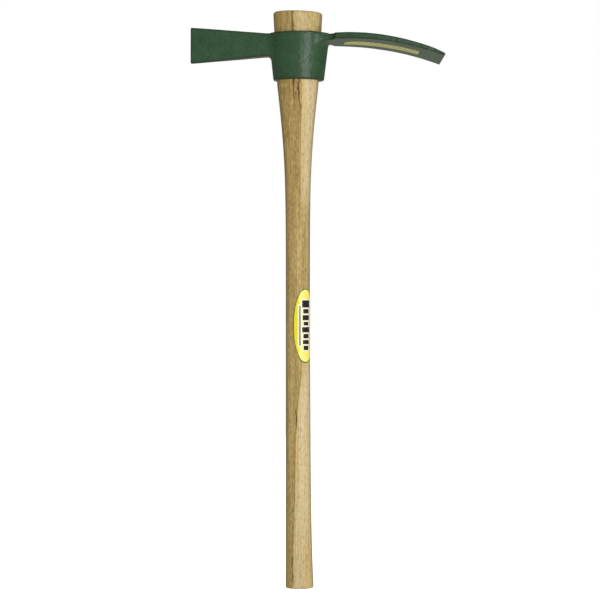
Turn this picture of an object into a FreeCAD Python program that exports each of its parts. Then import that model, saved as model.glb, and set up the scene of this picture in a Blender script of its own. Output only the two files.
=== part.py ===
import FreeCAD, Part
import Sketcher
import os
from math import cos, radians, sin, sqrt

# A cutter mattock with a slip-fit hardwood handle.
# +Z runs up the handle from the butt, -X is the cutter, +X is the adze.
# The origin is the point of the butt that the tool stands on, on the handle's centre line.

os.makedirs("parts", exist_ok=True)
doc = FreeCAD.newDocument("cutter_mattock")

UP = FreeCAD.Vector(0, 0, 1)
ALONG_X = FreeCAD.Vector(1, 0, 0)
PLAN = FreeCAD.Rotation()
SIDE = FreeCAD.Rotation(ALONG_X, 90)
SEAM_AT_LEFT = FreeCAD.Rotation(UP, 180)


# ---------------------------------------------------------------- driving dimensions

DIMENSIONS = {
    # handle: heights above the butt, then half widths, half depths and sideways shifts
    "handle_length": 900,
    "heel_height": 40,
    "lower_height": 170,
    "waist_height": 440,
    "upper_height": 580,
    "swell_height": 655,
    "shoulder_height": 715,
    "eye_taper_start": 783,
    "butt_half_width": 21.9,
    "butt_half_depth": 17.8,
    "butt_shift": 2.8,
    "heel_half_width": 21.1,
    "heel_half_depth": 17.3,
    "heel_shift": 2.0,
    "lower_half_width": 19.8,
    "lower_half_depth": 16.3,
    "lower_shift": 0.8,
    "waist_half_width": 18.9,
    "waist_half_depth": 15.6,
    "upper_half_width": 19.3,
    "upper_half_depth": 16.0,
    "swell_half_width": 21.1,
    "swell_half_depth": 17.4,
    "shoulder_half_width": 25.1,
    "shoulder_half_depth": 19.6,
    "taper_low_half_width": 32.1,
    "taper_low_half_depth": 21.6,
    "taper_top_half_width": 38.6,
    "taper_top_half_depth": 25.6,
    "butt_round": 3,
    "top_round": 3.2,
    "top_tilt": 1.3,
    # eye and collar of the forged head
    "fit_gap": 0.3,
    "collar_bottom": 792.3,
    "collar_top": 866.0,
    "collar_low_half_width": 39.6,
    "collar_low_half_depth": 28.2,
    "collar_low_shift": 1.3,
    "collar_top_half_width": 48.0,
    "collar_top_half_depth": 32.2,
    "collar_top_shift": 2.1,
    "collar_low_round": 2.5,
    "collar_top_round": 0.8,
    "eye_overrun": 10,
    # adze blade
    "adze_top": 862.3,
    "adze_thickness": 9.9,
    "adze_bend_start": 70,
    "under_bend_start": 71.5,
    "adze_top_radius": 392,
    "adze_under_radius": 443,
    "adze_reach": 226.6,
    "adze_bevel": 16,
    "adze_bevel_drop": 7.9,
    "adze_end_lean": 0.9,
    "neck_inner": 18,
    "neck_end": 45,
    "neck_half_width": 26,
    "neck_round": 11.5,
    "shoulder_corner_round": 3,
    "adze_flare_start": 60,
    "adze_root_half_width": 39.7,
    "adze_mid": 150,
    "adze_mid_half_width": 49.2,
    "adze_tip_half_width": 51.5,
    "adze_flare_radius": 520,
    "tip_corner_round": 3,
    "tip_allowance": 0.2,
    "neck_under_fillet": 9,
    "neck_side_fillet": 12,
    "neck_top_fillet": 2.5,
    # cutter blade
    "cutter_reach": 167.8,
    "cutter_root": 20,
    "cutter_root_top": 863.0,
    "cutter_edge_top": 875.6,
    "cutter_edge_bottom": 819.0,
    "cutter_root_bottom": 832.8,
    "cutter_root_half_thickness": 12.2,
    "cutter_bevel_half_thickness": 3.2,
    "cutter_bevel": 20,
    "cutter_edge_half_thickness": 0.8,
    "cutter_side_fillet": 18,
    "cutter_under_fillet": 7.5,
    "cutter_join": 50,
    "cutter_corner_round": 2.2,
    # stickers
    "sticker_thickness": 0.25,
    "oval_height": 409.5,
    "oval_half_length": 58,
    "oval_half_width": 15.4,
    "oval_turn": 47.8,
    "strip_start": 72,
    "strip_end": 189,
    "strip_near": 13,
    "strip_far": 18,
    "strip_start_round": 22,
    "strip_corner": 74,
    "strip_shoulder": 10.7,
    # how far from its expected place the middle of an edge may lie
    "pick_margin": 0.5,
    # blanks that the blades and stickers are trimmed from
    "blank_margin": 10,
    "blank_height": 2000,
}


def fill_sheet():
    """Write every driving dimension into the spreadsheet with its own alias."""
    sheet = doc.addObject("Spreadsheet::Sheet", "dims")
    for row, (alias, value) in enumerate(DIMENSIONS.items(), start=1):
        sheet.set("A%d" % row, alias)
        sheet.set("B%d" % row, str(value))
        sheet.setAlias("B%d" % row, alias)
    doc.recompute()
    return sheet


dims = fill_sheet()


def bound(text):
    """Turn an expression written with plain aliases into one that names the sheet."""
    words = []
    word = ""
    for letter in text + " ":
        if letter.isalnum() or letter == "_":
            word += letter
            continue
        words.append("dims." + word if word in DIMENSIONS else word)
        words.append(letter)
        word = ""
    return "".join(words).strip()


def value_of(text):
    """Work out an expression of aliases as a plain number."""
    return float(dims.evalExpression(bound(text)))


# ---------------------------------------------------------------- helpers

def oval_section(name, height, half_width, half_depth, shift="0"):
    """A level oval across the handle or the collar."""
    oval = doc.addObject("Part::Ellipse", name)
    oval.Placement = FreeCAD.Placement(FreeCAD.Vector(), SEAM_AT_LEFT)
    oval.setExpression("MajorRadius", bound(half_width))
    oval.setExpression("MinorRadius", bound(half_depth))
    oval.setExpression("Placement.Base.x", bound(shift))
    oval.setExpression("Placement.Base.z", bound(height))
    return oval


def loft(name, sections, ruled=False):
    """A closed solid through the sections."""
    solid = doc.addObject("Part::Loft", name)
    solid.Sections = sections
    solid.Solid = True
    solid.Ruled = ruled
    return solid


def circle_arc(start, end, radius):
    """The short arc from start to end. A positive radius turns left, a negative one turns right."""
    chord = end - start
    half = chord.Length / 2
    rise = sqrt(max(radius * radius - half * half, 0))
    side = FreeCAD.Vector(-chord.y, chord.x, 0).normalize()
    turn = 1 if radius > 0 else -1
    centre = (start + end) / 2 + side * rise * turn
    middle = centre - side * abs(radius) * turn
    return Part.Arc(start, middle, end)


def outline(name, plane, corners):
    """A closed sketch whose corners and radii are bound to the sheet.

    Each corner is (x, y) or (x, y, radius): the radius bends the stretch that leaves the corner.
    """
    sketch = doc.addObject("Sketcher::SketchObject", name)
    sketch.Placement = FreeCAD.Placement(FreeCAD.Vector(), plane)
    points = [FreeCAD.Vector(value_of(corner[0]), value_of(corner[1]), 0) for corner in corners]
    count = len(corners)
    for index, corner in enumerate(corners):
        start = points[index]
        end = points[(index + 1) % count]
        if len(corner) == 3:
            sketch.addGeometry(circle_arc(start, end, value_of(corner[2])), False)
        else:
            sketch.addGeometry(Part.LineSegment(start, end), False)
    starts = [start_of(sketch, index, points[index]) for index in range(count)]
    ends = [3 - position for position in starts]
    for index, corner in enumerate(corners):
        following = (index + 1) % count
        sketch.addConstraint(
            Sketcher.Constraint("Coincident", index, ends[index], following, starts[following]))
        bind(sketch, "DistanceX", index, starts[index], corner[0])
        bind(sketch, "DistanceY", index, starts[index], corner[1])
        if len(corner) == 3:
            row = sketch.addConstraint(
                Sketcher.Constraint("Radius", index, abs(value_of(corner[2]))))
            sketch.setExpression("Constraints[%d]" % row, "abs(%s)" % bound(corner[2]))
    return sketch


def start_of(sketch, index, point):
    """Which end of a stretch sits at the given corner: 1 for its first point, 2 for its last."""
    first = sketch.getPoint(index, 1)
    return 1 if first.distanceToPoint(point) < 1e-6 else 2


def bind(sketch, kind, index, position, text):
    """Fix one coordinate of a corner, measured from the sketch's origin."""
    value = value_of(text)
    row = sketch.addConstraint(Sketcher.Constraint(kind, -1, 1, index, position, value))
    sketch.setExpression("Constraints[%d]" % row, bound(text))


def plate(name, sketch, thickness):
    """Extrude a sketch by the same amount to both sides of its plane."""
    solid = doc.addObject("Part::Extrusion", name)
    solid.Base = sketch
    solid.DirMode = "Normal"
    solid.Solid = True
    solid.Symmetric = True
    solid.setExpression("LengthFwd", bound(thickness))
    return solid


def pair(kind, name, base, tool):
    """A Part boolean of two objects."""
    result = doc.addObject(kind, name)
    result.Base = base
    result.Tool = tool
    return result


def rounded(name, base, picks):
    """Round the edges that each pick finds: a pick is (test on an edge, radius alias)."""
    doc.recompute()
    edges = []
    for test, radius in picks:
        size = value_of(radius)
        for index, edge in enumerate(base.Shape.Edges, start=1):
            if test(edge):
                edges.append((index, size, size))
    result = doc.addObject("Part::Fillet", name)
    result.Base = base
    result.Edges = edges
    return result


def level_at(height):
    """A test for edges that lie level at the given height."""
    target = value_of(height)

    def test(edge):
        box = edge.BoundBox
        return abs(box.ZMin - target) < 1e-4 and abs(box.ZMax - target) < 1e-4
    return test


def above(height):
    """A test for edges that lie wholly above the given height."""
    target = value_of(height)
    return lambda edge: edge.BoundBox.ZMin > target


def around(place):
    """Limits a little below and above a place."""
    return (place + " - pick_margin", place + " + pick_margin")


def middle_in(across, aside, height):
    """A test for edges whose middle lies between these limits in X, in distance from the
    mid-plane, and in height.
    """
    limits = [[value_of(limit) for limit in span] for span in (across, aside, height)]

    def test(edge):
        middle = edge.CenterOfMass
        spots = (middle.x, abs(middle.y), middle.z)
        return all(low < spot < high for spot, (low, high) in zip(spots, limits))
    return test


# ---------------------------------------------------------------- handle

STATIONS = ["butt", "heel", "lower", "waist", "upper", "swell", "shoulder", "taper_low"]
HEIGHTS = {"butt": "0", "taper_low": "eye_taper_start"}
SHIFTED = ["butt", "heel", "lower"]


def make_shaft(name, extra):
    """The shaft from the butt to the start of the eye taper, made bigger all round by extra."""
    sections = []
    for station in STATIONS:
        sections.append(oval_section(
            "%s_%s" % (name, station),
            HEIGHTS.get(station, station + "_height"),
            station + "_half_width + " + extra,
            station + "_half_depth + " + extra,
            station + "_shift" if station in SHIFTED else "0"))
    return loft(name, sections)


def make_handle():
    """Hardwood slip-fit handle: tapered eye end sawn off a little out of square, oval shaft,
    butt that swells to one side.
    """
    low = oval_section(
        "taper_low", "eye_taper_start", "taper_low_half_width", "taper_low_half_depth")
    top = oval_section(
        "taper_top", "handle_length - taper_top_half_width * sin(top_tilt * 1 deg)",
        "taper_top_half_width", "taper_top_half_depth")
    top.setExpression("Placement.Rotation.Pitch", bound("-top_tilt"))
    eye_end = loft("eye_end", [low, top], ruled=True)
    blank = pair("Part::Fuse", "handle_blank", make_shaft("shaft", "0"), eye_end)
    return rounded("handle", blank, [
        (level_at("0"), "butt_round"),
        (above("collar_top"), "top_round"),
    ])


# ---------------------------------------------------------------- head

def taper_size(low, top, height, extra):
    """The size of the tapered eye end at a height, with an allowance added."""
    rate = "(%s - %s) / (handle_length - eye_taper_start)" % (top, low)
    return "%s + %s * (%s - eye_taper_start) + %s" % (low, rate, height, extra)


def make_eye():
    """The tapered hole through the collar, which follows the handle's own taper."""
    sections = []
    for name, height in (("eye_low", "(collar_bottom - eye_overrun)"),
                         ("eye_top", "(collar_top + eye_overrun)")):
        sections.append(oval_section(
            name, height,
            taper_size("taper_low_half_width", "taper_top_half_width", height, "fit_gap"),
            taper_size("taper_low_half_depth", "taper_top_half_depth", height, "fit_gap")))
    return loft("eye", sections, ruled=True)


def make_collar():
    """Outside of the oval eye collar."""
    low = oval_section("collar_low", "collar_bottom", "collar_low_half_width",
                       "collar_low_half_depth", "collar_low_shift")
    top = oval_section("collar_upper", "collar_top", "collar_top_half_width",
                       "collar_top_half_depth", "collar_top_shift")
    return loft("collar", [low, top], ruled=True)


def drop(radius, run):
    """How far an arc that starts level has fallen after a level run."""
    return "(%s - sqrt(%s^2 - (%s)^2))" % (radius, radius, run)


def make_adze():
    """Curved grubbing blade: its side outline crossed with its plan outline."""
    bevel_x = "(adze_reach - adze_bevel)"
    bevel_z = "(adze_top - %s)" % drop("adze_top_radius", bevel_x + " - adze_bend_start")
    under = "(adze_top - adze_thickness)"
    end_x = "(adze_reach - adze_end_lean)"
    end_z = "(%s - %s)" % (under, drop("adze_under_radius", end_x + " - under_bend_start"))
    side = outline("adze_side", SIDE, [
        ("neck_inner", under),
        ("under_bend_start", under, "-adze_under_radius"),
        (end_x, end_z),
        ("adze_reach", bevel_z + " - adze_bevel_drop"),
        (bevel_x, bevel_z, "adze_top_radius"),
        ("adze_bend_start", "adze_top"),
        ("neck_inner", "adze_top"),
    ])
    corner_x = "neck_end + neck_round"
    corner_y = "neck_half_width + neck_round"
    half = [
        ("neck_inner", "neck_half_width"),
        ("neck_end", "neck_half_width", "neck_round"),
        (corner_x, corner_y, "-shoulder_corner_round"),
        ("adze_flare_start", "adze_root_half_width", "-adze_flare_radius"),
        ("adze_mid", "adze_mid_half_width"),
        ("adze_reach - tip_corner_round", "adze_tip_half_width", "-tip_corner_round"),
        ("adze_reach + tip_allowance", "adze_tip_half_width - tip_corner_round"),
    ]
    plan = outline("adze_plan", PLAN, mirrored(half))
    slab = plate("adze_slab", side, "2 * (adze_tip_half_width + blank_margin)")
    blank = plate("adze_blank", plan, "blank_height")
    return pair("Part::Common", "adze", slab, blank)


def mirrored(half):
    """Complete an outline that is symmetric about the X axis, given its +Y half."""
    whole = list(half)
    count = len(half)
    for index in range(count - 1, -1, -1):
        x, y = half[index][0], half[index][1]
        before = half[index - 1] if index else ()
        if len(before) == 3:
            whole.append((x, "-(%s)" % y, before[2]))
        else:
            whole.append((x, "-(%s)" % y))
    return whole


def make_cutter():
    """Vertical chopping blade: its plan wedge crossed with its side outline."""
    bevel_x = "-(cutter_reach - cutter_bevel)"
    half = [
        ("-cutter_reach", "cutter_edge_half_thickness"),
        (bevel_x, "cutter_bevel_half_thickness"),
        ("-cutter_root", "cutter_root_half_thickness"),
    ]
    plan = outline("cutter_plan", PLAN, mirrored(half))
    side = outline("cutter_side", SIDE, [
        ("-cutter_root", "cutter_root_top"),
        ("-cutter_reach + cutter_corner_round", "cutter_edge_top", "cutter_corner_round"),
        ("-cutter_reach", "cutter_edge_top - cutter_corner_round"),
        ("-cutter_reach", "cutter_edge_bottom + cutter_corner_round", "cutter_corner_round"),
        ("-cutter_reach + cutter_corner_round", "cutter_edge_bottom"),
        ("-cutter_root", "cutter_root_bottom"),
    ])
    wedge = plate("cutter_wedge", plan, "blank_height")
    slab = plate("cutter_slab", side, "2 * (cutter_root_half_thickness + blank_margin)")
    return pair("Part::Common", "cutter", wedge, slab)


def make_head():
    """One forging: collar, adze and cutter fused and blended, then the eye cut through."""
    fused = doc.addObject("Part::MultiFuse", "head_blank")
    fused.Shapes = [make_collar(), make_adze(), make_cutter()]
    under = "(adze_top - adze_thickness)"
    neck = ("neck_inner", "neck_end - pick_margin")
    middle = ("-pick_margin", "pick_margin")
    blended = rounded("head_blended", fused, [
        (middle_in(neck, middle, around(under)), "neck_under_fillet"),
        (middle_in(neck, middle, around("adze_top")), "neck_top_fillet"),
        (middle_in(neck, around("neck_half_width"),
                   (under + " + pick_margin", "adze_top - pick_margin")), "neck_side_fillet"),
        (middle_in(("-cutter_join", "-cutter_root"),
                   ("cutter_root_half_thickness / 2", "cutter_root_half_thickness"),
                   ("cutter_root_bottom", "cutter_root_top")), "cutter_side_fillet"),
        (middle_in(("-cutter_join", "-cutter_root"),
                   ("0", "cutter_root_half_thickness / 2"),
                   ("cutter_root_bottom - cutter_under_fillet", "cutter_root_bottom")),
         "cutter_under_fillet"),
    ])
    rims = rounded("head_rims", blended, [
        (level_at("collar_bottom"), "collar_low_round"),
        (level_at("collar_top"), "collar_top_round"),
    ])
    return pair("Part::Cut", "head", rims, make_eye())


# ---------------------------------------------------------------- stickers

def make_handle_label(shaft):
    """Oval sticker that wraps round the front right of the shaft."""
    turn = radians(value_of("oval_turn"))
    outward = FreeCAD.Vector(sin(turn), -cos(turn), 0)
    oval = doc.addObject("Part::Ellipse", "label_oval")
    facing = FreeCAD.Rotation(UP, outward.cross(UP), outward, "XZY")
    oval.Placement = FreeCAD.Placement(FreeCAD.Vector(), facing)
    oval.setExpression("MajorRadius", bound("oval_half_length"))
    oval.setExpression("MinorRadius", bound("oval_half_width"))
    oval.setExpression("Placement.Base.z", bound("oval_height"))
    stamp = doc.addObject("Part::Extrusion", "label_stamp")
    stamp.Base = oval
    stamp.Dir = outward
    stamp.DirMode = "Custom"
    stamp.Solid = True
    stamp.setExpression("LengthFwd", bound("2 * waist_half_width"))
    skin = pair("Part::Cut", "label_skin", make_shaft("wrapped_shaft", "sticker_thickness"), shaft)
    return pair("Part::Common", "handle_label", skin, stamp)


def make_blade_label(slab):
    """Long strip sticker on the underside of the adze, rounded at its inner end."""
    lowered = plate("lowered_slab", slab.Base, "2 * adze_tip_half_width")
    lowered.setExpression("Placement.Base.z", bound("-sticker_thickness"))
    skin = pair("Part::Cut", "strip_skin", lowered, slab)
    plan = outline("strip_plan", PLAN, [
        ("strip_start + strip_start_round", "-strip_near"),
        ("strip_end", "-strip_near"),
        ("strip_end", "strip_far"),
        ("strip_corner", "strip_far"),
        ("strip_start", "strip_shoulder", "strip_start_round"),
    ])
    return pair("Part::Common", "blade_label", skin, plate("strip_blank", plan, "blank_height"))


handle = make_handle()
head = make_head()
handle_label = make_handle_label(doc.getObject("shaft"))
blade_label = make_blade_label(doc.getObject("adze_slab"))
doc.recompute()


def write_parts(nodes):
    """Check every object, then write each node as its own STEP file."""
    for item in doc.Objects:
        state = item.State
        if "Invalid" in state or "Error" in state:
            raise RuntimeError("%s: %s" % (item.Name, state))
    for node in nodes:
        shape = node.Shape
        if shape.isNull() or not shape.isValid():
            raise RuntimeError("%s has no valid shape" % node.Label)
        shape.exportStep("parts/%s.step" % node.Label)


write_parts([handle, head, handle_label, blade_label])
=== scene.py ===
import math

import bpy
import numpy as np
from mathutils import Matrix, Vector

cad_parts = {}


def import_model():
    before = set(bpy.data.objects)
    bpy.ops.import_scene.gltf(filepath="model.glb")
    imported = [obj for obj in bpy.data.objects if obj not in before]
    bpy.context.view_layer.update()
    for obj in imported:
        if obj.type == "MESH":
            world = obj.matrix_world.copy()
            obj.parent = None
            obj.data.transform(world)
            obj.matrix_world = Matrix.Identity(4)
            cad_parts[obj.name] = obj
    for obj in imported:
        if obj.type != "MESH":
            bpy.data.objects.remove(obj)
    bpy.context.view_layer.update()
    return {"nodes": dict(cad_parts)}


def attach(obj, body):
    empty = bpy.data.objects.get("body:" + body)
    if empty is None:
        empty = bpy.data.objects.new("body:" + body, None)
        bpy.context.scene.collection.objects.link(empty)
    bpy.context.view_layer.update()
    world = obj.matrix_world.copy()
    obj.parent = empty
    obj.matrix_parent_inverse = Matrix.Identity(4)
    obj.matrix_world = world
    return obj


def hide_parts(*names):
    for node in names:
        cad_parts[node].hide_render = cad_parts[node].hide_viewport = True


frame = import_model()
MM = 0.001


# ---------------------------------------------------------------- the tool's sizes in millimetres

# Handle stations: height, half width, half depth, sideways shift.
STATIONS = np.array([
    (0, 21.9, 17.8, 2.8),
    (40, 21.1, 17.3, 2.0),
    (170, 19.8, 16.3, 0.8),
    (440, 18.9, 15.6, 0.0),
    (580, 19.3, 16.0, 0.0),
    (655, 21.1, 17.4, 0.0),
    (715, 25.1, 19.6, 0.0),
    (783, 32.1, 21.6, 0.0),
])
TAPER_START, HANDLE_TOP = 783.0, 900.0
TAPER_TOP_HALF = (38.6, 25.6)
TOP_TILT = math.radians(1.3)
TILT_START = 868.0
BUTT_ROUND, TOP_ROUND = 2.2, 4.6
GRAIN_SIZE, GRAIN_STRETCH, GRAIN_DEPTH = 2.4, 0.03, 0.025
SAW_ACROSS, SAW_PITCH, SAW_DEPTH = (0.8, 0.6), 0.55, 0.03
END_SINK, SAWN_INSET = 0.05, 1.5    # how far the end faces sink, and where their rims look sawn
PAINTED_SIDE_SHADE_START = 0.82                  # share of the half width where the painted shade on the sides begins

# Oval sticker on the shaft.
OVAL_HEIGHT, OVAL_HALF_LENGTH, OVAL_HALF_WIDTH = 409.5, 58.0, 15.4
OVAL_TURN = math.radians(45.6)
OVAL_POWER = 2.5                    # 2 is an ellipse; more is fuller towards the corners
STICKER_PROUD, OVAL_GAP, STRIP_GAP = 0.25, 0.03, 0.02
OVAL_RIM = 0.72                     # share of its height that the oval keeps at its rim

# Strip sticker under the adze.
UNDER_HEIGHT, UNDER_BEND_START, UNDER_RADIUS = 852.4, 71.5, 443.0
STRIP_END, STRIP_NEAR, STRIP_FAR = 189.0, -13.0, 18.0
STRIP_ROUND_CENTRE, STRIP_ROUND = (94.0, 9.0), 22.0
STRIP_SHOULDER, STRIP_START, STRIP_CORNER = 10.7, 72.0, 74.0

# Forging.
HEAD_VOXEL, HEAD_FACES = 0.65, 185000
HEAD_ROUNDS, NECK_ROUNDS = 20, 60    # rounds of smoothing
SMOOTH_IN, SMOOTH_OUT = 0.62, -0.56  # one after the other, so that the whole doesn't shrink
NECK_SMOOTH_IN = 0.6
UNEVEN = [(34, 3, 0.06), (9, 4, 0.045), (3.2, 5, 0.012)]    # size of the features, seed, height
# Painted shade: the paint's colour darkens along the proud edges and in the hollows that these pick
# out.
RIDGE_ROUNDS, RIDGE_FULL = 8, 0.22   # rounds of averaging, and the bulge that counts in full
HOLLOW_ROUNDS, HOLLOW_FULL = 90, 1.6


# ---------------------------------------------------------------- mesh helpers

def grid_faces(rows, columns, offset=0, wrap=True):
    """Quads of a grid of points stored row by row. With wrap the last column joins the first."""
    row, column = np.meshgrid(np.arange(rows - 1), np.arange(columns if wrap else columns - 1),
                              indexing="ij")
    after = (column + 1) % columns
    quads = np.stack([row * columns + column, row * columns + after,
                      (row + 1) * columns + after, (row + 1) * columns + column], axis=-1)
    return quads.reshape(-1, 4) + offset


def mesh_object(name, points, faces):
    """A smooth-shaded mesh object from points in millimetres."""
    mesh = bpy.data.meshes.new(name)
    mesh.from_pydata((np.asarray(points) * MM).tolist(), [], [tuple(face) for face in faces])
    mesh.validate()
    mesh.update()
    mesh.shade_smooth()
    piece = bpy.data.objects.new(name, mesh)
    bpy.context.scene.collection.objects.link(piece)
    return piece


def store(mesh, name, values, kind="FLOAT"):
    """Keep a value for every vertex, for the materials to read."""
    layer = mesh.attributes.new(name, kind, "POINT")
    key = "vector" if kind == "FLOAT_VECTOR" else "value"
    layer.data.foreach_set(key, np.asarray(values, np.float32).ravel())


def random_field(points, size, seed, waves=28):
    """A smooth random value for each point, about -1 to 1, with features of the given size."""
    dice = np.random.default_rng(seed)
    directions = dice.normal(size=(waves, 3))
    directions /= np.linalg.norm(directions, axis=1)[:, None]
    scale = 2 * math.pi / (size * dice.uniform(0.7, 1.5, waves))
    phase = dice.uniform(0, 2 * math.pi, waves)
    total = np.cos(points @ (directions * scale[:, None]).T + phase).sum(axis=1)
    return total / math.sqrt(2 * waves)


def smooth_step(value, low, high):
    """0 below low, 1 above high, and a smooth climb between."""
    t = np.clip((value - low) / (high - low), 0, 1)
    return t * t * (3 - 2 * t)


def natural_spline(knots, values, at):
    """A natural cubic spline through the knots, read at the given places."""
    count = len(knots)
    gap = np.diff(knots)
    matrix = np.eye(count)
    right = np.zeros(count)
    for i in range(1, count - 1):
        matrix[i, i - 1:i + 2] = gap[i - 1], 2 * (gap[i - 1] + gap[i]), gap[i]
        right[i] = 6 * ((values[i + 1] - values[i]) / gap[i]
                        - (values[i] - values[i - 1]) / gap[i - 1])
    bend = np.linalg.solve(matrix, right)
    i = np.clip(np.searchsorted(knots, at) - 1, 0, count - 2)
    before, after, width = at - knots[i], knots[i + 1] - at, gap[i]
    return ((bend[i] * after ** 3 + bend[i + 1] * before ** 3) / (6 * width)
            + (values[i] / width - bend[i] * width / 6) * after
            + (values[i + 1] / width - bend[i + 1] * width / 6) * before)


# ---------------------------------------------------------------- handle

def section(height):
    """Half width, half depth and sideways shift of the handle at each height. Its taper in the eye
    is straight.
    """
    low = np.minimum(height, TAPER_START)
    sizes = [natural_spline(STATIONS[:, 0], STATIONS[:, k], low) for k in (1, 2, 3)]
    climb = np.maximum(height - TAPER_START, 0) / (HANDLE_TOP - TAPER_START)
    for k in (0, 1):
        sizes[k] = sizes[k] + climb * (TAPER_TOP_HALF[k] - STATIONS[-1, k + 1])
    return sizes


# Gum veins on the front: sideways place at the top and bottom, the heights of both, half width,
# groove depth, strength of the colour, and 1 for a rusty one.
VEINS = [
    ((-8.9, -5.1), (903, 806), 2.0, 0.30, 0.72, 0),
    ((-6.0, -7.0), (812, 752), 1.2, 0.2, 1.0, 0),
    ((0.3, 3.2), (812, 728), 1.15, 0.6, 1.0, 0),
    ((-2.4, -1.8), (812, 732), 2.2, 0.08, 1.0, 1),
    ((0.4, -2.6), (742, 588), 1.4, 0.05, 1.0, 1),
    ((-2.4, -3.2), (282, 240), 0.7, 0.15, 1.0, 0),
    ((-8.0, -8.6), (48, -2), 0.6, 0.3, 1.0, 0),
]


def vein_strength(points):
    """How far into a dark and into a rusty vein each point lies, 0 to 1, and the groove's depth."""
    strength = np.zeros((2, len(points)))
    depth = np.zeros(len(points))
    x, y, z = points.T
    for index, ((x_top, x_low), (z_top, z_low), half, deep, tint, rusty) in enumerate(VEINS):
        along = (z_top - z) / (z_top - z_low)
        # Each vein wanders a little, swells and thins, and fades out towards its lower end.
        wander = 0.9 * np.sin(z / 7.5 + index) + 0.4 * np.sin(z / 3.1 + 2 * index)
        line = x_top + (x_low - x_top) * along + wander
        fade = smooth_step(along, -0.02, 0.02) * (1 - smooth_step(along, 0.6, 1.0))
        width = half * (1 + 0.4 * np.sin(z / 5.3 + 3 * index))
        here = np.exp(-((x - line) / width) ** 2) * fade * (y < 0)
        strength[rusty] = np.maximum(strength[rusty], here * tint)
        depth = np.maximum(depth, here * deep)
    return strength[0], strength[1], depth


def handle_heights():
    """Ring heights: close together at the rounded ends, the veins and the collar."""
    stretches = [(BUTT_ROUND, 50, 22), (50, 700, 150), (700, 800, 60), (800, TILT_START, 14)]
    rings = [np.linspace(*stretch, endpoint=False) for stretch in stretches]
    rings.append(np.linspace(TILT_START, HANDLE_TOP - TOP_ROUND, 20))
    return np.concatenate(rings)


def make_handle():
    """The wooden handle as one closed skin of rings, with rounded ends, veins and sawn faces."""
    columns, bend_steps, cap_steps = 300, 7, 22
    bend = [math.pi / 2 * step / bend_steps for step in range(bend_steps + 1)]
    caps = [(step + 1) / (cap_steps + 1) for step in range(cap_steps)]
    # Each ring has a height, an inset, and a share of the radius that is below 1 on the end faces.
    rings = [(0, BUTT_ROUND, share) for share in caps]
    rings += [(BUTT_ROUND * (1 - math.cos(a)), BUTT_ROUND * (1 - math.sin(a)), 1)
              for a in bend[:-1]]
    rings += [(height, 0, 1) for height in handle_heights()]
    rings += [(HANDLE_TOP - TOP_ROUND * (1 - math.sin(a)), TOP_ROUND * (1 - math.cos(a)), 1)
              for a in bend[1:]]
    rings += [(HANDLE_TOP, TOP_ROUND, 1 - share) for share in caps]
    height, inset, share = (np.repeat(np.array(values, float), columns) for values in zip(*rings))
    angle = np.tile(np.arange(columns) * 2 * math.pi / columns, len(rings))

    # The top is sawn a little out of square: rings near it lean with it.
    lean = smooth_step(height, TILT_START, HANDLE_TOP)
    top_half = TAPER_TOP_HALF[0]
    height = height - lean * math.tan(TOP_TILT) * (top_half + top_half * np.cos(angle) * share)
    half_width, half_depth, shift = section(height)
    x = shift + (half_width - inset) * share * np.cos(angle)
    y = (half_depth - inset) * share * np.sin(angle)
    points = np.stack([x, y, height], axis=1)

    # Fine relief of the grain, then the veins, both pressed in along the level direction.
    strength, rust, depth = vein_strength(points)
    side = (share == 1) & (inset < SAWN_INSET)
    grain = (random_field(points * (1, 1, GRAIN_STRETCH), GRAIN_SIZE, 11) - 1) * GRAIN_DEPTH
    push = np.where(side, grain - depth, 0)
    outward = np.stack([np.cos(angle) * half_depth, np.sin(angle) * half_width], axis=1)
    outward /= np.linalg.norm(outward, axis=1)[:, None]
    points[:, :2] += outward * push[:, None]

    # Saw marks across both end faces.
    saw = np.sin(points[:, :2] @ SAW_ACROSS / SAW_PITCH) * SAW_DEPTH
    inward = np.where(height < HANDLE_TOP / 2, END_SINK, -END_SINK)
    points[:, 2] += np.where(share < 1, inward + saw, 0)

    count = len(rings)
    faces = [tuple(face) for face in grid_faces(count, columns)]
    low_centre, top_centre = len(points), len(points) + 1
    middle = [(STATIONS[0, 3], 0, END_SINK), (0, 0, HANDLE_TOP - math.tan(TOP_TILT) * top_half)]
    points = np.concatenate([points, middle])
    last = (count - 1) * columns
    for column in range(columns):
        after = (column + 1) % columns
        faces.append((low_centre, after, column))
        faces.append((top_centre, last + column, last + after))
    piece = mesh_object("handle_wood", points, faces)
    # Painted shade: the wood's colour darkens towards the handle's left and right sides.
    painted_side_shade = np.where(side, smooth_step(np.abs(np.cos(angle)), PAINTED_SIDE_SHADE_START, 1.0), 0)
    sawn = np.where(inset > SAWN_INSET, 1.0, 0.0)
    for name, values, centre in (("vein", strength, 0), ("rust", rust, 0), ("painted_side_shade", painted_side_shade, 0),
                                 ("sawn", sawn, 1)):
        store(piece.data, name, np.append(values, [centre, centre]))
    return piece


# ---------------------------------------------------------------- forged head

def neighbours_mean(edges, values):
    """For each vertex, the mean of its neighbours' values."""
    count, width = values.shape
    total = np.zeros((count, width))
    times = np.bincount(edges.ravel(), minlength=count)[:, None]
    for k in range(width):
        total[:, k] = (np.bincount(edges[:, 0], values[edges[:, 1], k], count)
                       + np.bincount(edges[:, 1], values[edges[:, 0], k], count))
    return total / np.maximum(times, 1)


def evaluated_mesh(piece):
    """The mesh of an object with its modifiers applied."""
    graph = bpy.context.evaluated_depsgraph_get()
    return bpy.data.meshes.new_from_object(piece.evaluated_get(graph), depsgraph=graph)


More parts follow.
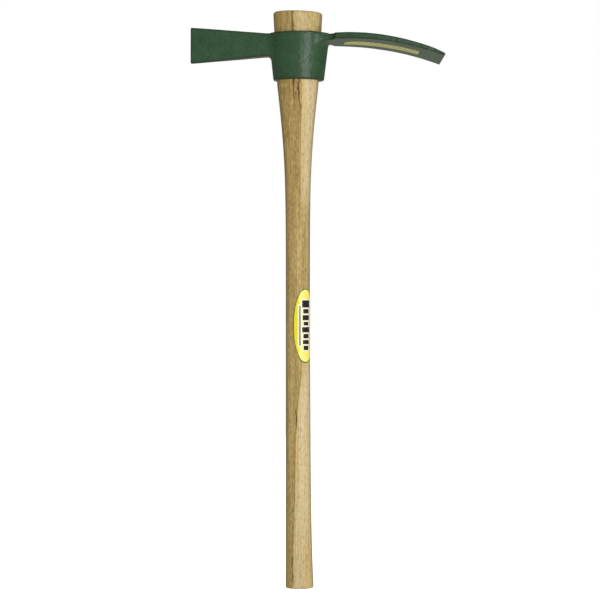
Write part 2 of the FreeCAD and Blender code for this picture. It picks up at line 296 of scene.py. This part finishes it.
def mesh_arrays(mesh):
    """The points in millimetres, the normals and the edges of a mesh."""
    count = len(mesh.vertices)
    points, normals = np.empty(count * 3), np.empty(count * 3)
    mesh.vertices.foreach_get("co", points)
    mesh.vertices.foreach_get("normal", normals)
    edges = np.empty(len(mesh.edges) * 2, np.int64)
    mesh.edges.foreach_get("vertices", edges)
    return points.reshape(-1, 3) / MM, normals.reshape(-1, 3), edges.reshape(-1, 2)


def move_points(mesh, points):
    """Put a mesh's points at the given places, in millimetres."""
    mesh.vertices.foreach_set("co", (points * MM).ravel())
    mesh.update()


def bulge(mesh, rounds):
    """How far each point stands proud of its smoothed surroundings, in millimetres. More rounds
    look further around; hollows are below zero.
    """
    points, normals, edges = mesh_arrays(mesh)
    smooth = points
    for _ in range(rounds):
        smooth = neighbours_mean(edges, smooth)
    proud = ((points - smooth) * normals).sum(axis=1)[:, None]
    for _ in range(2):
        proud = 0.5 * proud + 0.5 * neighbours_mean(edges, proud)
    return proud[:, 0]


def neck_blend(points):
    """1 where the neck runs into the collar's outside, fading to 0 around it."""
    x, y, z = points.T
    beside = smooth_step(x, 20, 32) * (1 - smooth_step(x, 44, 52)) * smooth_step(np.abs(y), 8, 18)
    around = (x / TAPER_TOP_HALF[0]) ** 2 + (y / TAPER_TOP_HALF[1]) ** 2
    outside = smooth_step(around, 1.10, 1.22)
    level = smooth_step(z, 828, 840) * (1 - smooth_step(z, 862, 869))
    return beside * outside * level


def make_head(cad):
    """The forging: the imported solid's skin with softened edges and a faint unevenness."""
    piece = bpy.data.objects.new("head_forging", cad.data.copy())
    bpy.context.scene.collection.objects.link(piece)
    remesh = piece.modifiers.new("skin", "REMESH")
    remesh.mode = "VOXEL"
    remesh.voxel_size = HEAD_VOXEL * MM
    mesh = evaluated_mesh(piece)
    piece.modifiers.clear()

    points, _, edges = mesh_arrays(mesh)
    for _ in range(HEAD_ROUNDS):
        for pull in (SMOOTH_IN, SMOOTH_OUT):
            points = points + pull * (neighbours_mean(edges, points) - points)
    pull = NECK_SMOOTH_IN * neck_blend(points)[:, None]
    for _ in range(NECK_ROUNDS):
        points = points + pull * (neighbours_mean(edges, points) - points)
    move_points(mesh, points)

    points, normals, _ = mesh_arrays(mesh)
    rough = sum(random_field(points, size, seed) * high for size, seed, high in UNEVEN)
    move_points(mesh, points + normals * rough[:, None])

    piece.data = mesh
    thin = piece.modifiers.new("thin", "DECIMATE")
    mesh.calc_loop_triangles()
    thin.ratio = min(1.0, HEAD_FACES / len(mesh.loop_triangles))
    mesh = evaluated_mesh(piece)
    piece.modifiers.clear()
    # Proud edges and hollows, for the paint to darken as painted shade.
    store(mesh, "ridge_shade", np.clip(bulge(mesh, RIDGE_ROUNDS) / RIDGE_FULL, 0, 1))
    store(mesh, "hollow_shade", np.clip(-bulge(mesh, HOLLOW_ROUNDS) / HOLLOW_FULL, 0, 1))
    mesh.shade_smooth()
    mesh.materials.clear()
    piece.data = mesh
    return piece


# ---------------------------------------------------------------- stickers

def closed_sheet(name, top, bottom, rows, columns, wrap):
    """A thin closed sheet from two grids of points of the same layout."""
    count = rows * columns
    upper = grid_faces(rows, columns, 0, wrap)
    lower = grid_faces(rows, columns, count, wrap)[:, ::-1]
    last = (rows - 1) * columns
    if wrap:
        rim = [last + k for k in range(columns)]
    else:
        rim = list(range(columns)) + [row * columns + columns - 1 for row in range(1, rows)]
        rim += [last + k for k in range(columns - 2, -1, -1)]
        rim += [row * columns for row in range(rows - 2, 0, -1)]
    faces = [tuple(face) for face in upper] + [tuple(face) for face in lower]
    for here, after in zip(rim, rim[1:] + rim[:1]):
        faces.append((here, here + count, after + count, after))
    return mesh_object(name, np.concatenate([top, bottom]), faces)


def on_shaft(across, along, proud):
    """Points that stand proud of the shaft, found straight behind the oval's own plane."""
    height = OVAL_HEIGHT + along
    half_width, half_depth, shift = section(height)
    wide, deep = half_width + proud, half_depth + proud
    reach = np.hypot(wide * math.cos(OVAL_TURN), deep * math.sin(OVAL_TURN))
    lead = np.arctan2(deep * math.sin(OVAL_TURN), wide * math.cos(OVAL_TURN))
    at = across - shift * math.cos(OVAL_TURN)
    angle = lead - np.arccos(np.clip(at / reach, -1, 1))
    return np.stack([shift + wide * np.cos(angle), deep * np.sin(angle), height], axis=1)


def make_oval():
    """Printed oval sticker, a thin closed skin wrapped on the shaft."""
    rows, columns = 46, 220
    innermost = 0.02
    radius = np.repeat(np.linspace(innermost, 1, rows), columns)
    angle = np.tile(np.arange(columns) * 2 * math.pi / columns, rows)
    level, up = np.cos(angle), np.sin(angle)
    across = OVAL_HALF_WIDTH * radius * np.sign(level) * np.abs(level) ** (2 / OVAL_POWER)
    along = OVAL_HALF_LENGTH * radius * np.sign(up) * np.abs(up) ** (2 / OVAL_POWER)
    top = on_shaft(across, along, STICKER_PROUD * np.where(radius < 1, 1.0, OVAL_RIM))
    bottom = on_shaft(across, along, OVAL_GAP)
    piece = closed_sheet("handle_sticker", top, bottom, rows, columns, True)
    fill_centre(piece, columns, rows * columns)
    place = np.stack([across, along, np.zeros_like(across)], axis=1)
    store(piece.data, "print_place", np.concatenate([place, place]), "FLOAT_VECTOR")
    return piece


def fill_centre(piece, columns, lower_start):
    """Close the small holes in the middle of the oval's two sheets."""
    mesh = piece.data
    old = [tuple(face.vertices) for face in mesh.polygons]
    points = [vertex.co.copy() for vertex in mesh.vertices]
    old.append(tuple(range(columns))[::-1])
    old.append(tuple(lower_start + k for k in range(columns)))
    mesh.clear_geometry()
    mesh.from_pydata(points, [], old)
    mesh.update()
    mesh.shade_smooth()


def under_surface(x):
    """Height of the adze's underside."""
    run = np.maximum(x - UNDER_BEND_START, 0)
    return UNDER_HEIGHT - (UNDER_RADIUS - np.sqrt(UNDER_RADIUS ** 2 - run ** 2))


def make_strip():
    """Printed strip sticker under the adze, rounded at its inner end."""
    rows, columns = 150, 44
    y = np.tile(np.linspace(STRIP_NEAR, STRIP_FAR, columns), rows)
    share = np.repeat(np.linspace(0, 1, rows), columns)
    centre_x, centre_y = STRIP_ROUND_CENTRE
    curve = centre_x - np.sqrt(np.maximum(STRIP_ROUND ** 2 - (y - centre_y) ** 2, 0))
    slant = (STRIP_CORNER - STRIP_START) / (STRIP_FAR - STRIP_SHOULDER)
    corner = STRIP_START + slant * (y - STRIP_SHOULDER)
    start = np.where(y > STRIP_SHOULDER, corner, curve)
    x = start + (STRIP_END - start) * share
    height = under_surface(x)
    top = np.stack([x, y, height - STICKER_PROUD], axis=1)
    bottom = np.stack([x, y, height - STRIP_GAP], axis=1)
    piece = closed_sheet("blade_sticker", top, bottom, rows, columns, False)
    place = np.stack([x, y, np.zeros_like(x)], axis=1)
    store(piece.data, "print_place", np.concatenate([place, place]), "FLOAT_VECTOR")
    return piece


# ---------------------------------------------------------------- material helpers

def linear(red, green, blue):
    """A colour given as 0-255 display values, turned into the linear values that shaders use."""
    shares = [value / 255 for value in (red, green, blue)]
    return [s / 12.92 if s <= 0.04045 else ((s + 0.055) / 1.055) ** 2.4 for s in shares] + [1.0]


class Finish:
    """A material and short calls that add nodes to it. Each call returns an output socket."""

    def __init__(self, name):
        """An otherwise empty material with one Principled shader."""
        self.material = bpy.data.materials.new(name)
        self.material.use_nodes = True
        self.tree = self.material.node_tree
        self.tree.nodes.clear()
        self.out = self.add("ShaderNodeOutputMaterial")
        self.shader = self.add("ShaderNodeBsdfPrincipled")
        self.feed(self.out.inputs["Surface"], self.shader.outputs[0])

    def add(self, kind, **settings):
        """A new node with its settings."""
        node = self.tree.nodes.new(kind)
        for key, value in settings.items():
            setattr(node, key, value)
        return node

    def feed(self, socket, value):
        """Link another node's output to a socket, or set the socket to a plain value."""
        if isinstance(value, bpy.types.NodeSocket):
            self.tree.links.new(value, socket)
        else:
            socket.default_value = value

    def set(self, **inputs):
        """Set the shader's own inputs. An underscore stands for a space."""
        for key, value in inputs.items():
            self.feed(self.shader.inputs[key.replace("_", " ")], value)

    def math(self, operation, *values):
        """A sum on plain values."""
        node = self.add("ShaderNodeMath", operation=operation)
        for socket, value in zip(node.inputs, values):
            self.feed(socket, value)
        return node.outputs[0]

    def vector(self, operation, *values):
        """A sum on vectors. A length comes out as a plain value."""
        node = self.add("ShaderNodeVectorMath", operation=operation)
        for socket, value in zip(node.inputs, values):
            self.feed(socket, value)
        return node.outputs["Value" if operation == "LENGTH" else "Vector"]

    def place(self):
        """Where a point is on the piece, in metres."""
        return self.add("ShaderNodeTexCoord").outputs["Object"]

    def attribute(self, name, output="Fac"):
        """A value that store() kept on the mesh."""
        return self.add("ShaderNodeAttribute", attribute_name=name).outputs[output]

    def split(self, vector):
        """The three parts of a vector."""
        node = self.add("ShaderNodeSeparateXYZ")
        self.feed(node.inputs[0], vector)
        return node.outputs

    def noise(self, vector, scale, detail=2.0, roughness=0.5):
        """Noise, 0 to 1. The scale is one number, or one for each direction."""
        if isinstance(scale, tuple):
            vector, scale = self.vector("MULTIPLY", vector, scale), 1.0
        node = self.add("ShaderNodeTexNoise")
        for key, value in (("Vector", vector), ("Scale", scale), ("Detail", detail),
                           ("Roughness", roughness)):
            self.feed(node.inputs[key], value)
        return node.outputs["Fac"]

    def dots(self, vector, scale):
        """The distance to the nearest of many scattered dots."""
        node = self.add("ShaderNodeTexVoronoi")
        self.feed(node.inputs["Vector"], vector)
        self.feed(node.inputs["Scale"], scale)
        return node.outputs["Distance"]

    def spread(self, value, low, high, start=0.0, end=1.0, shape="LINEAR"):
        """A straight ramp from start to end as the value goes from low to high, then held."""
        node = self.add("ShaderNodeMapRange", interpolation_type=shape)
        for key, number in (("Value", value), ("From Min", low), ("From Max", high),
                            ("To Min", start), ("To Max", end)):
            self.feed(node.inputs[key], number)
        return node.outputs["Result"]

    def step(self, value, low, high, start=0.0, end=1.0):
        """The same ramp with a soft start and a soft end."""
        return self.spread(value, low, high, start, end, "SMOOTHSTEP")

    def times(self, first, second):
        """The product of two values."""
        return self.math("MULTIPLY", first, second)

    def mix(self, factor, first, second):
        """The first colour where the factor is 0, the second where it is 1."""
        node = self.add("ShaderNodeMix", data_type="RGBA")
        self.feed(node.inputs["Factor"], factor)
        for socket, value in zip([s for s in node.inputs if s.type == "RGBA"], (first, second)):
            self.feed(socket, value)
        return [s for s in node.outputs if s.type == "RGBA"][0]

    def curve(self, value, points):
        """A smooth curve through (input, output) pairs, both 0 to 1."""
        node = self.add("ShaderNodeFloatCurve")
        line = node.mapping.curves[0]
        line.points[0].location = points[0]
        line.points[-1].location = points[-1]
        for point in points[1:-1]:
            line.points.new(*point)
        node.mapping.update()
        self.feed(node.inputs["Value"], value)
        return node.outputs[0]

    def bump(self, height, distance, strength=1.0):
        """A normal that leans with the slope of a height."""
        node = self.add("ShaderNodeBump")
        for key, value in (("Height", height), ("Distance", distance), ("Strength", strength)):
            self.feed(node.inputs[key], value)
        return node.outputs["Normal"]


# ---------------------------------------------------------------- wood

# In metres: the line that the growth rings run round, their spacing and how far they wander. Then
# the radius that counts as 1 on the heartwood's curve, and how ragged and how soft its edge is.
PITH = (-0.070, 0.030, 0.0)
RING_PITCH, RING_SWAY = 0.0026, 0.006
HEART_SCALE, EDGE_RAGGED, EDGE_SOFT = 0.12, 0.0022, 0.0008

# Where the dark heartwood ends on the handle's front: height and sideways place, in millimetres.
HEART_EDGE = [
    (0, -8.4), (80, -6.0), (184, -3.8), (262, -2.2), (300, 1.2), (340, 5.0), (400, 6.4),
    (470, 6.0), (560, 5.0), (620, 4.4), (690, 4.6), (780, 6.6), (812, 4.6), (840, -3.0),
    (870, -7.4), (900, -8.6),
]


def heart_radius():
    """The heartwood's edge as curve points: share of the height, share of HEART_SCALE."""
    pairs = []
    for height, across in HEART_EDGE:
        half_width, half_depth, shift = (float(v) for v in section(np.array(float(height))))
        front = -half_depth * math.sqrt(1 - min(0.99, ((across - shift) / half_width) ** 2))
        radius = math.hypot(across * MM - PITH[0], front * MM - PITH[1])
        pairs.append((height / HANDLE_TOP, radius / HEART_SCALE))
    return pairs


def wood_finish():
    """Clear-coated hardwood: brown heartwood, pale sapwood, rings, pores, gum veins, end grain, and
    painted shade towards its left and right sides.
    """
    f = Finish("clear_coated_hardwood")
    place = f.place()
    height = f.split(place)[2]
    level = f.vector("MULTIPLY", f.vector("SUBTRACT", place, PITH), (1, 1, 0))
    radius = f.vector("LENGTH", level)
    sway = f.times(f.math("SUBTRACT", f.noise(place, (22, 22, 3.0), 3), 0.5), RING_SWAY)
    radius = f.math("ADD", radius, sway)

    # Growth rings, and noises that are long and thin along the grain.
    phase = f.math("FRACT", f.math("DIVIDE", radius, RING_PITCH))
    early = f.math("MAXIMUM", f.step(phase, 0.0, 0.42, 1.0, 0.0), f.step(phase, 0.93, 1.0))
    streak = f.noise(place, (520, 520, 7), 3, 0.6)
    fibre = f.noise(place, (1700, 1700, 24), 2, 0.6)
    broad = f.noise(place, (120, 120, 3.2), 3, 0.55)
    cloud = f.noise(place, (30, 30, 5), 2)

    # Where the sapwood begins, and how much of the change shows at each height.
    share = f.math("DIVIDE", height, HANDLE_TOP * MM)
    edge = f.times(f.curve(share, heart_radius()), HEART_SCALE)
    ragged = f.times(f.math("SUBTRACT", streak, 0.5), EDGE_RAGGED)
    past = f.math("ADD", f.math("SUBTRACT", radius, edge), ragged)
    sap = f.step(past, -EDGE_SOFT, EDGE_SOFT)
    showing = f.curve(share, [(0, 1), (0.35, 1), (0.42, 0.6), (0.5, 0.18), (0.6, 0.22),
                              (0.68, 0.75), (0.76, 1), (0.94, 1), (0.96, 0.68), (1, 0.68)])
    sap = f.times(sap, showing)

    # Brown heartwood, pale sapwood with yellower bands, and a dark seam between them.
    heart = f.mix(f.spread(streak, 0.3, 0.7), linear(143, 118, 63), linear(185, 161, 102))
    heart = f.mix(f.times(early, 0.45), heart, linear(124, 96, 48))
    pale = f.mix(f.spread(streak, 0.3, 0.72), linear(192, 173, 124), linear(218, 203, 168))
    pale = f.mix(f.times(early, 0.22), pale, linear(190, 160, 98))
    inner = f.step(past, 0.0052, 0.0016)
    outer = f.step(past, 0.0135, 0.0185)
    yellow = f.times(f.math("MAXIMUM", inner, outer), 0.6)
    pale = f.mix(yellow, pale, linear(196, 168, 100))
    colour = f.mix(sap, heart, pale)
    seam = f.step(f.math("ABSOLUTE", f.math("ADD", past, EDGE_SOFT)), 0.0, 0.0011, 1.0, 0.0)
    seam = f.times(f.times(seam, 0.5), showing)
    colour = f.mix(seam, colour, linear(112, 85, 38))

    # Patches, fibres, flecks and short dark ticks.
    colour = f.mix(f.spread(broad, 0.42, 0.7, 0.0, 0.38), colour, linear(214, 190, 130))
    colour = f.mix(f.spread(cloud, 0.45, 0.75, 0.0, 0.25), colour, linear(142, 112, 60))
    colour = f.mix(f.spread(fibre, 0.50, 0.70, 0.0, 0.42), colour, linear(112, 86, 42))
    fleck = f.noise(place, (420, 420, 150), 3, 0.65)
    colour = f.mix(f.spread(fleck, 0.52, 0.72, 0.0, 0.34), colour, linear(228, 206, 150))
    colour = f.mix(f.spread(fleck, 0.47, 0.28, 0.0, 0.5), colour, linear(112, 85, 40))
    tick = f.step(f.noise(place, (640, 640, 110), 2, 0.5), 0.62, 0.74)
    tick = f.times(tick, f.math("SUBTRACT", 0.75, f.times(sap, 0.5)))
    colour = f.mix(tick, colour, linear(98, 74, 34))

    # Pores, which crowd into the rings' early wood.
    pores = f.step(f.noise(place, (2600, 2600, 95), 1), 0.66, 0.74)
    pores = f.times(pores, f.math("ADD", 0.25, f.times(early, 0.75)))
    colour = f.mix(f.times(pores, 0.55), colour, linear(96, 72, 38))

    # Veins, painted shade on the sides, and sawn ends, all from values kept on the mesh.
    broken = f.noise(place, (300, 300, 210), 2)
    rust = f.times(f.attribute("rust"), f.spread(broken, 0.48, 0.62, 0.1, 0.75))
    colour = f.mix(rust, colour, linear(146, 98, 44))
    vein = f.times(f.attribute("vein"), f.spread(broken, 0.38, 0.5, 0.5, 1.0))
    colour = f.mix(vein, colour, linear(64, 42, 18))
    # Painted shade on the handle's left and right sides.
    colour = f.mix(f.times(f.attribute("painted_side_shade"), 0.42), colour, linear(94, 70, 26))
    sawn = f.attribute("sawn")
    colour = f.mix(f.times(sawn, 0.45), colour, linear(140, 112, 66))

    relief = f.math("ADD", f.times(fibre, 0.5), f.times(pores, -0.8))
    relief = f.math("ADD", relief, f.times(early, -0.3))
    rough = f.spread(f.math("ADD", streak, f.times(pores, 0.5)), 0.3, 0.9, 0.40, 0.58)
    rough = f.math("ADD", rough, f.times(sawn, 0.3))
    f.set(Base_Color=colour, Roughness=rough, Normal=f.bump(relief, 0.00005, 0.6),
          Specular_IOR_Level=0.24, Coat_Weight=0.04, Coat_Roughness=0.3)
    return f.material


# ---------------------------------------------------------------- paint

def paint_finish():
    """Semi-gloss green dipped paint over forged steel, with dimples, painted glints as light
    specks, and painted shade along proud edges and in hollows.
    """
    f = Finish("dipped_green_paint")
    place = f.place()
    cloud = f.noise(place, 38, 4, 0.6)
    patch = f.noise(place, 130, 3, 0.6)
    grit = f.noise(place, 900, 2, 0.6)
    peel = f.noise(place, 190, 1, 0.5)
    dimple = f.dots(place, 170)

    colour = f.mix(f.spread(cloud, 0.3, 0.7), linear(40, 70, 44), linear(49, 80, 53))
    colour = f.mix(f.spread(patch, 0.5, 0.8, 0.0, 0.35), colour, linear(56, 84, 58))
    # Painted glints: small light specks in the paint's colour.
    glint_speck = f.step(f.noise(place, 1100, 1), 0.69, 0.76)
    colour = f.mix(f.times(glint_speck, 0.35), colour, linear(96, 118, 92))
    pit = f.step(f.noise(place, 560, 1), 0.32, 0.25)
    colour = f.mix(f.times(pit, 0.5), colour, linear(20, 34, 22))
    mottle = f.noise(place, 330, 3, 0.7)
    colour = f.mix(f.spread(mottle, 0.54, 0.78, 0.0, 0.4), colour, linear(66, 94, 68))
    colour = f.mix(f.spread(mottle, 0.44, 0.26, 0.0, 0.35), colour, linear(28, 52, 34))
    # Painted shade along proud edges and in hollows.
    ridge_shade = f.times(f.attribute("ridge_shade"), f.spread(grit, 0.3, 0.6, 0.55, 0.9))
    colour = f.mix(ridge_shade, colour, linear(34, 38, 24))
    hollow_shade = f.spread(f.attribute("hollow_shade"), 0.3, 1.0, 0.0, 0.8)
    colour = f.mix(hollow_shade, colour, linear(26, 34, 20))

    rough = f.math("ADD", f.spread(mottle, 0.3, 0.7, 0.28, 0.46), f.times(glint_speck, 0.1))
    relief = f.math("ADD", peel, f.times(grit, 0.03))
    relief = f.math("ADD", relief, f.times(f.step(dimple, 0.0, 0.42), 0.1))
    f.set(Base_Color=colour, Roughness=rough, Normal=f.bump(relief, 0.0005, 1.0),
          Specular_IOR_Level=0.45)
    return f.material


# ---------------------------------------------------------------- printed stickers

def block_distance(f, across, along, block):
    """How far outside a plain rectangle a point is, in millimetres; below 0 is inside. The block
    is its centre across and along, then half its size across and along.
    """
    beyond = []
    for value, centre, half in ((across, block[0], block[2]), (along, block[1], block[3])):
        off_centre = f.math("ABSOLUTE", f.math("SUBTRACT", value, centre))
        beyond.append(f.math("SUBTRACT", off_centre, half))
    return f.math("MAXIMUM", *beyond)


def nearest_block(f, across, along, blocks):
    """The distance to the nearest of several blocks."""
    nearest = block_distance(f, across, along, blocks[0])
    for block in blocks[1:]:
        nearest = f.math("MINIMUM", nearest, block_distance(f, across, along, block))
    return nearest


def printed(f, distance, blur, strength):
    """How strongly a mark is printed: its strength inside, fading to 0 across its outline."""
    return f.step(distance, -blur, blur, strength, 0.0)


def oval_finish():
    """Gloss yellow oval with a painted highlight down its middle, a green hairline and a plain row
    of dark blocks beside a rule.
    """
    f = Finish("printed_oval")
    across, along, _ = f.split(f.attribute("print_place", "Vector"))
    place = f.place()
    level = f.math("ABSOLUTE", f.math("DIVIDE", across, OVAL_HALF_WIDTH))
    up = f.math("ABSOLUTE", f.math("DIVIDE", along, OVAL_HALF_LENGTH))
    ring = f.math("ADD", f.math("POWER", level, OVAL_POWER), f.math("POWER", up, OVAL_POWER))
    ring = f.math("POWER", ring, 1 / OVAL_POWER)
    blocks = [(0.9, 34.0, 6.9, 5.6), (0.9, 22.5, 5.2, 3.4), (0.9, 12.5, 6.2, 4.0),
              (0.9, 3.2, 4.6, 2.8), (0.9, -6.2, 6.9, 4.1), (0.9, -16.2, 5.0, 3.4),
              (0.9, -25.4, 5.8, 3.2), (0.9, -34.6, 4.6, 3.4)]
    block = nearest_block(f, across, along, blocks)
    rule = block_distance(f, across, along, (-8.8, 0.0, 1.0, 31.0))
    print_noise = f.noise(place, 60, 3, 0.6)
    shade = f.spread(print_noise, 0.3, 0.7, -0.04, 0.04)

    # Painted highlight: cream down the oval's middle, fading to deep yellow towards its long edges.
    highlight_fade = f.step(f.math("ADD", level, shade), 0.35, 0.85)
    colour = f.mix(highlight_fade, linear(248, 230, 108), linear(230, 214, 12))
    halo = f.step(f.math("MINIMUM", block, rule), 0.6, 2.4, 1.0, 0.0)
    colour = f.mix(halo, colour, linear(240, 235, 205))
    inked = f.math("MAXIMUM", printed(f, block, 0.15, 1.0), printed(f, rule, 0.12, 0.95))
    colour = f.mix(inked, colour, linear(20, 20, 22))
    colour = f.mix(f.step(ring, 0.962, 0.974), colour, linear(52, 118, 20))
    scuff = f.step(f.noise(place, (900, 900, 140), 2), 0.66, 0.78)
    colour = f.mix(f.times(scuff, 0.18), colour, linear(250, 248, 235))
    rough = f.spread(print_noise, 0.3, 0.7, 0.24, 0.34)
    f.set(Base_Color=colour, Roughness=rough, Normal=f.bump(f.noise(place, 240, 2), 0.00004, 0.5),
          Specular_IOR_Level=0.5, Coat_Weight=0.4, Coat_Roughness=0.2)
    return f.material


def strip_finish():
    """Pale yellow strip with a plain row of small blocks beside a rule."""
    f = Finish("printed_strip")
    along, across, _ = f.split(f.attribute("print_place", "Vector"))
    place = f.place()
    blocks = [(96.0 + 9.0 * k, -4.5, 2.6 - 0.5 * (k % 3), 1.7) for k in range(10)]
    block = nearest_block(f, along, across, blocks)
    rule = block_distance(f, along, across, (140.0, 9.0, 42.0, 0.5))
    blotch = f.noise(place, 55, 3, 0.6)
    colour = f.mix(f.spread(blotch, 0.3, 0.7), linear(198, 192, 98), linear(210, 206, 124))
    inked = f.math("MAXIMUM", printed(f, block, 0.12, 0.7), printed(f, rule, 0.1, 0.7))
    colour = f.mix(inked, colour, linear(70, 84, 50))
    scuff = f.step(f.noise(place, (160, 700, 700), 2), 0.64, 0.76)
    colour = f.mix(f.times(scuff, 0.25), colour, linear(186, 180, 120))
    rough = f.spread(blotch, 0.3, 0.7, 0.34, 0.46)
    f.set(Base_Color=colour, Roughness=rough, Normal=f.bump(f.noise(place, 260, 2), 0.00004, 0.5),
          Specular_IOR_Level=0.5)
    return f.material


# ---------------------------------------------------------------- studio

CAMERA_PLACE = (3.35 * MM, -2.6, 449.6 * MM)
CAMERA_LENS = 99.71
LIGHTS_AIM = (0, 0, 0.5)
WORLD_LIGHT = 0.20
FLOOR_HALF, FLOOR_HEIGHT = 30.0, -0.0003
FLOOR_GLOW, FLOOR_BOUNCE, FLOOR_LIFT = 0.9, 0.4, 0.22


def camera():
    """The photo's own view: level, from the front, through a long lens."""
    data = bpy.data.cameras.new("camera")
    data.sensor_width = 36.0
    data.lens = CAMERA_LENS
    data.clip_end = 60.0
    eye = bpy.data.objects.new("camera", data)
    eye.location = CAMERA_PLACE
    eye.rotation_euler = (math.pi / 2, 0, 0)
    bpy.context.scene.collection.objects.link(eye)
    bpy.context.scene.camera = eye


def softbox(name, azimuth, elevation, distance, size, power, shines=True):
    """A soft area light that looks at the tool. Azimuth 0 is the camera's side, 90 is on the right.
    One that doesn't shine lights the tool but isn't mirrored in it.
    """
    turn, rise = math.radians(azimuth), math.radians(elevation)
    level = math.cos(rise)
    away = Vector((math.sin(turn) * level, -math.cos(turn) * level, math.sin(rise)))
    data = bpy.data.lights.new(name, "AREA")
    data.shape = "RECTANGLE"
    data.size, data.size_y = size
    data.energy = power
    lamp = bpy.data.objects.new(name, data)
    lamp.location = Vector(LIGHTS_AIM) + away * distance
    lamp.rotation_euler = (-away).to_track_quat("-Z", "Y").to_euler()
    lamp.visible_camera = False
    lamp.visible_glossy = shines
    bpy.context.scene.collection.objects.link(lamp)


def world():
    """White where the camera sees past the tool, dimmer as a source of light."""
    sky = bpy.data.worlds.new("studio")
    bpy.context.scene.world = sky
    sky.use_nodes = True
    tree = sky.node_tree
    tree.nodes.clear()
    seen = tree.nodes.new("ShaderNodeBackground")
    lit = tree.nodes.new("ShaderNodeBackground")
    lit.inputs["Strength"].default_value = WORLD_LIGHT
    for node in (seen, lit):
        node.inputs["Color"].default_value = (1, 1, 1, 1)
    path = tree.nodes.new("ShaderNodeLightPath")
    choose = tree.nodes.new("ShaderNodeMixShader")
    out = tree.nodes.new("ShaderNodeOutputWorld")
    tree.links.new(path.outputs["Is Camera Ray"], choose.inputs[0])
    tree.links.new(lit.outputs[0], choose.inputs[1])
    tree.links.new(seen.outputs[0], choose.inputs[2])
    tree.links.new(choose.outputs[0], out.inputs["Surface"])


def floor():
    """A plain white floor. The camera sees it glow. It lights the tool from below by bouncing a
    share of its light and by a faint warm light of its own.
    """
    mesh = bpy.data.meshes.new("studio_floor")
    corners = [(-1, -1), (1, -1), (1, 1), (-1, 1)]
    points = [(x * FLOOR_HALF, y * FLOOR_HALF, FLOOR_HEIGHT) for x, y in corners]
    mesh.from_pydata(points, [], [(0, 1, 2, 3)])
    plane = bpy.data.objects.new("studio_floor", mesh)
    bpy.context.scene.collection.objects.link(plane)
    f = Finish("floor_white")
    f.set(Base_Color=(0.8, 0.8, 0.8, 1.0), Roughness=0.9, Specular_IOR_Level=0.0,
          Emission_Color=(1, 1, 1, 1), Emission_Strength=FLOOR_GLOW)
    dim = f.add("ShaderNodeBsdfDiffuse")
    dim.inputs["Color"].default_value = (FLOOR_BOUNCE, FLOOR_BOUNCE, FLOOR_BOUNCE, 1)
    lamp = f.add("ShaderNodeEmission")
    lamp.inputs["Color"].default_value = (1.0, 0.97, 0.82, 1.0)
    lamp.inputs["Strength"].default_value = FLOOR_LIFT
    both = f.add("ShaderNodeAddShader")
    f.feed(both.inputs[0], dim.outputs[0])
    f.feed(both.inputs[1], lamp.outputs[0])
    path = f.add("ShaderNodeLightPath")
    choose = f.add("ShaderNodeMixShader")
    f.feed(choose.inputs[0], path.outputs["Is Camera Ray"])
    f.feed(choose.inputs[1], both.outputs[0])
    f.feed(choose.inputs[2], f.shader.outputs[0])
    f.feed(f.out.inputs["Surface"], choose.outputs[0])
    plane.data.materials.append(f.material)


# ---------------------------------------------------------------- build

def dress(piece, finish, node, body):
    """Give a piece its finish and let it stand for its CAD node."""
    piece.data.materials.clear()
    piece.data.materials.append(finish)
    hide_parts(node)
    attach(piece, body)


dress(make_handle(), wood_finish(), "handle", "handle")
dress(make_head(frame["nodes"]["head"]), paint_finish(), "head", "head")
dress(make_oval(), oval_finish(), "handle_label", "handle")
dress(make_strip(), strip_finish(), "blade_label", "head")

camera()
world()
floor()
# Name, azimuth, elevation, distance, width and height, power.
softbox("key", 22, 6, 2.4, (0.5, 1.4), 18)
softbox("fill_left", -28, -3, 2.4, (1.0, 0.7), 19, shines=False)
softbox("fill_right", 54, -3, 2.4, (1.0, 0.7), 20.5, shines=False)
softbox("back", 180, 24, 2.6, (1.2, 1.2), 26, shines=False)
softbox("top", 0, 80, 2.2, (1.6, 1.6), 12)

view = bpy.context.scene.view_settings
view.view_transform = "Standard"
view.look = "None"
bpy.context.scene.cycles.use_denoising = True
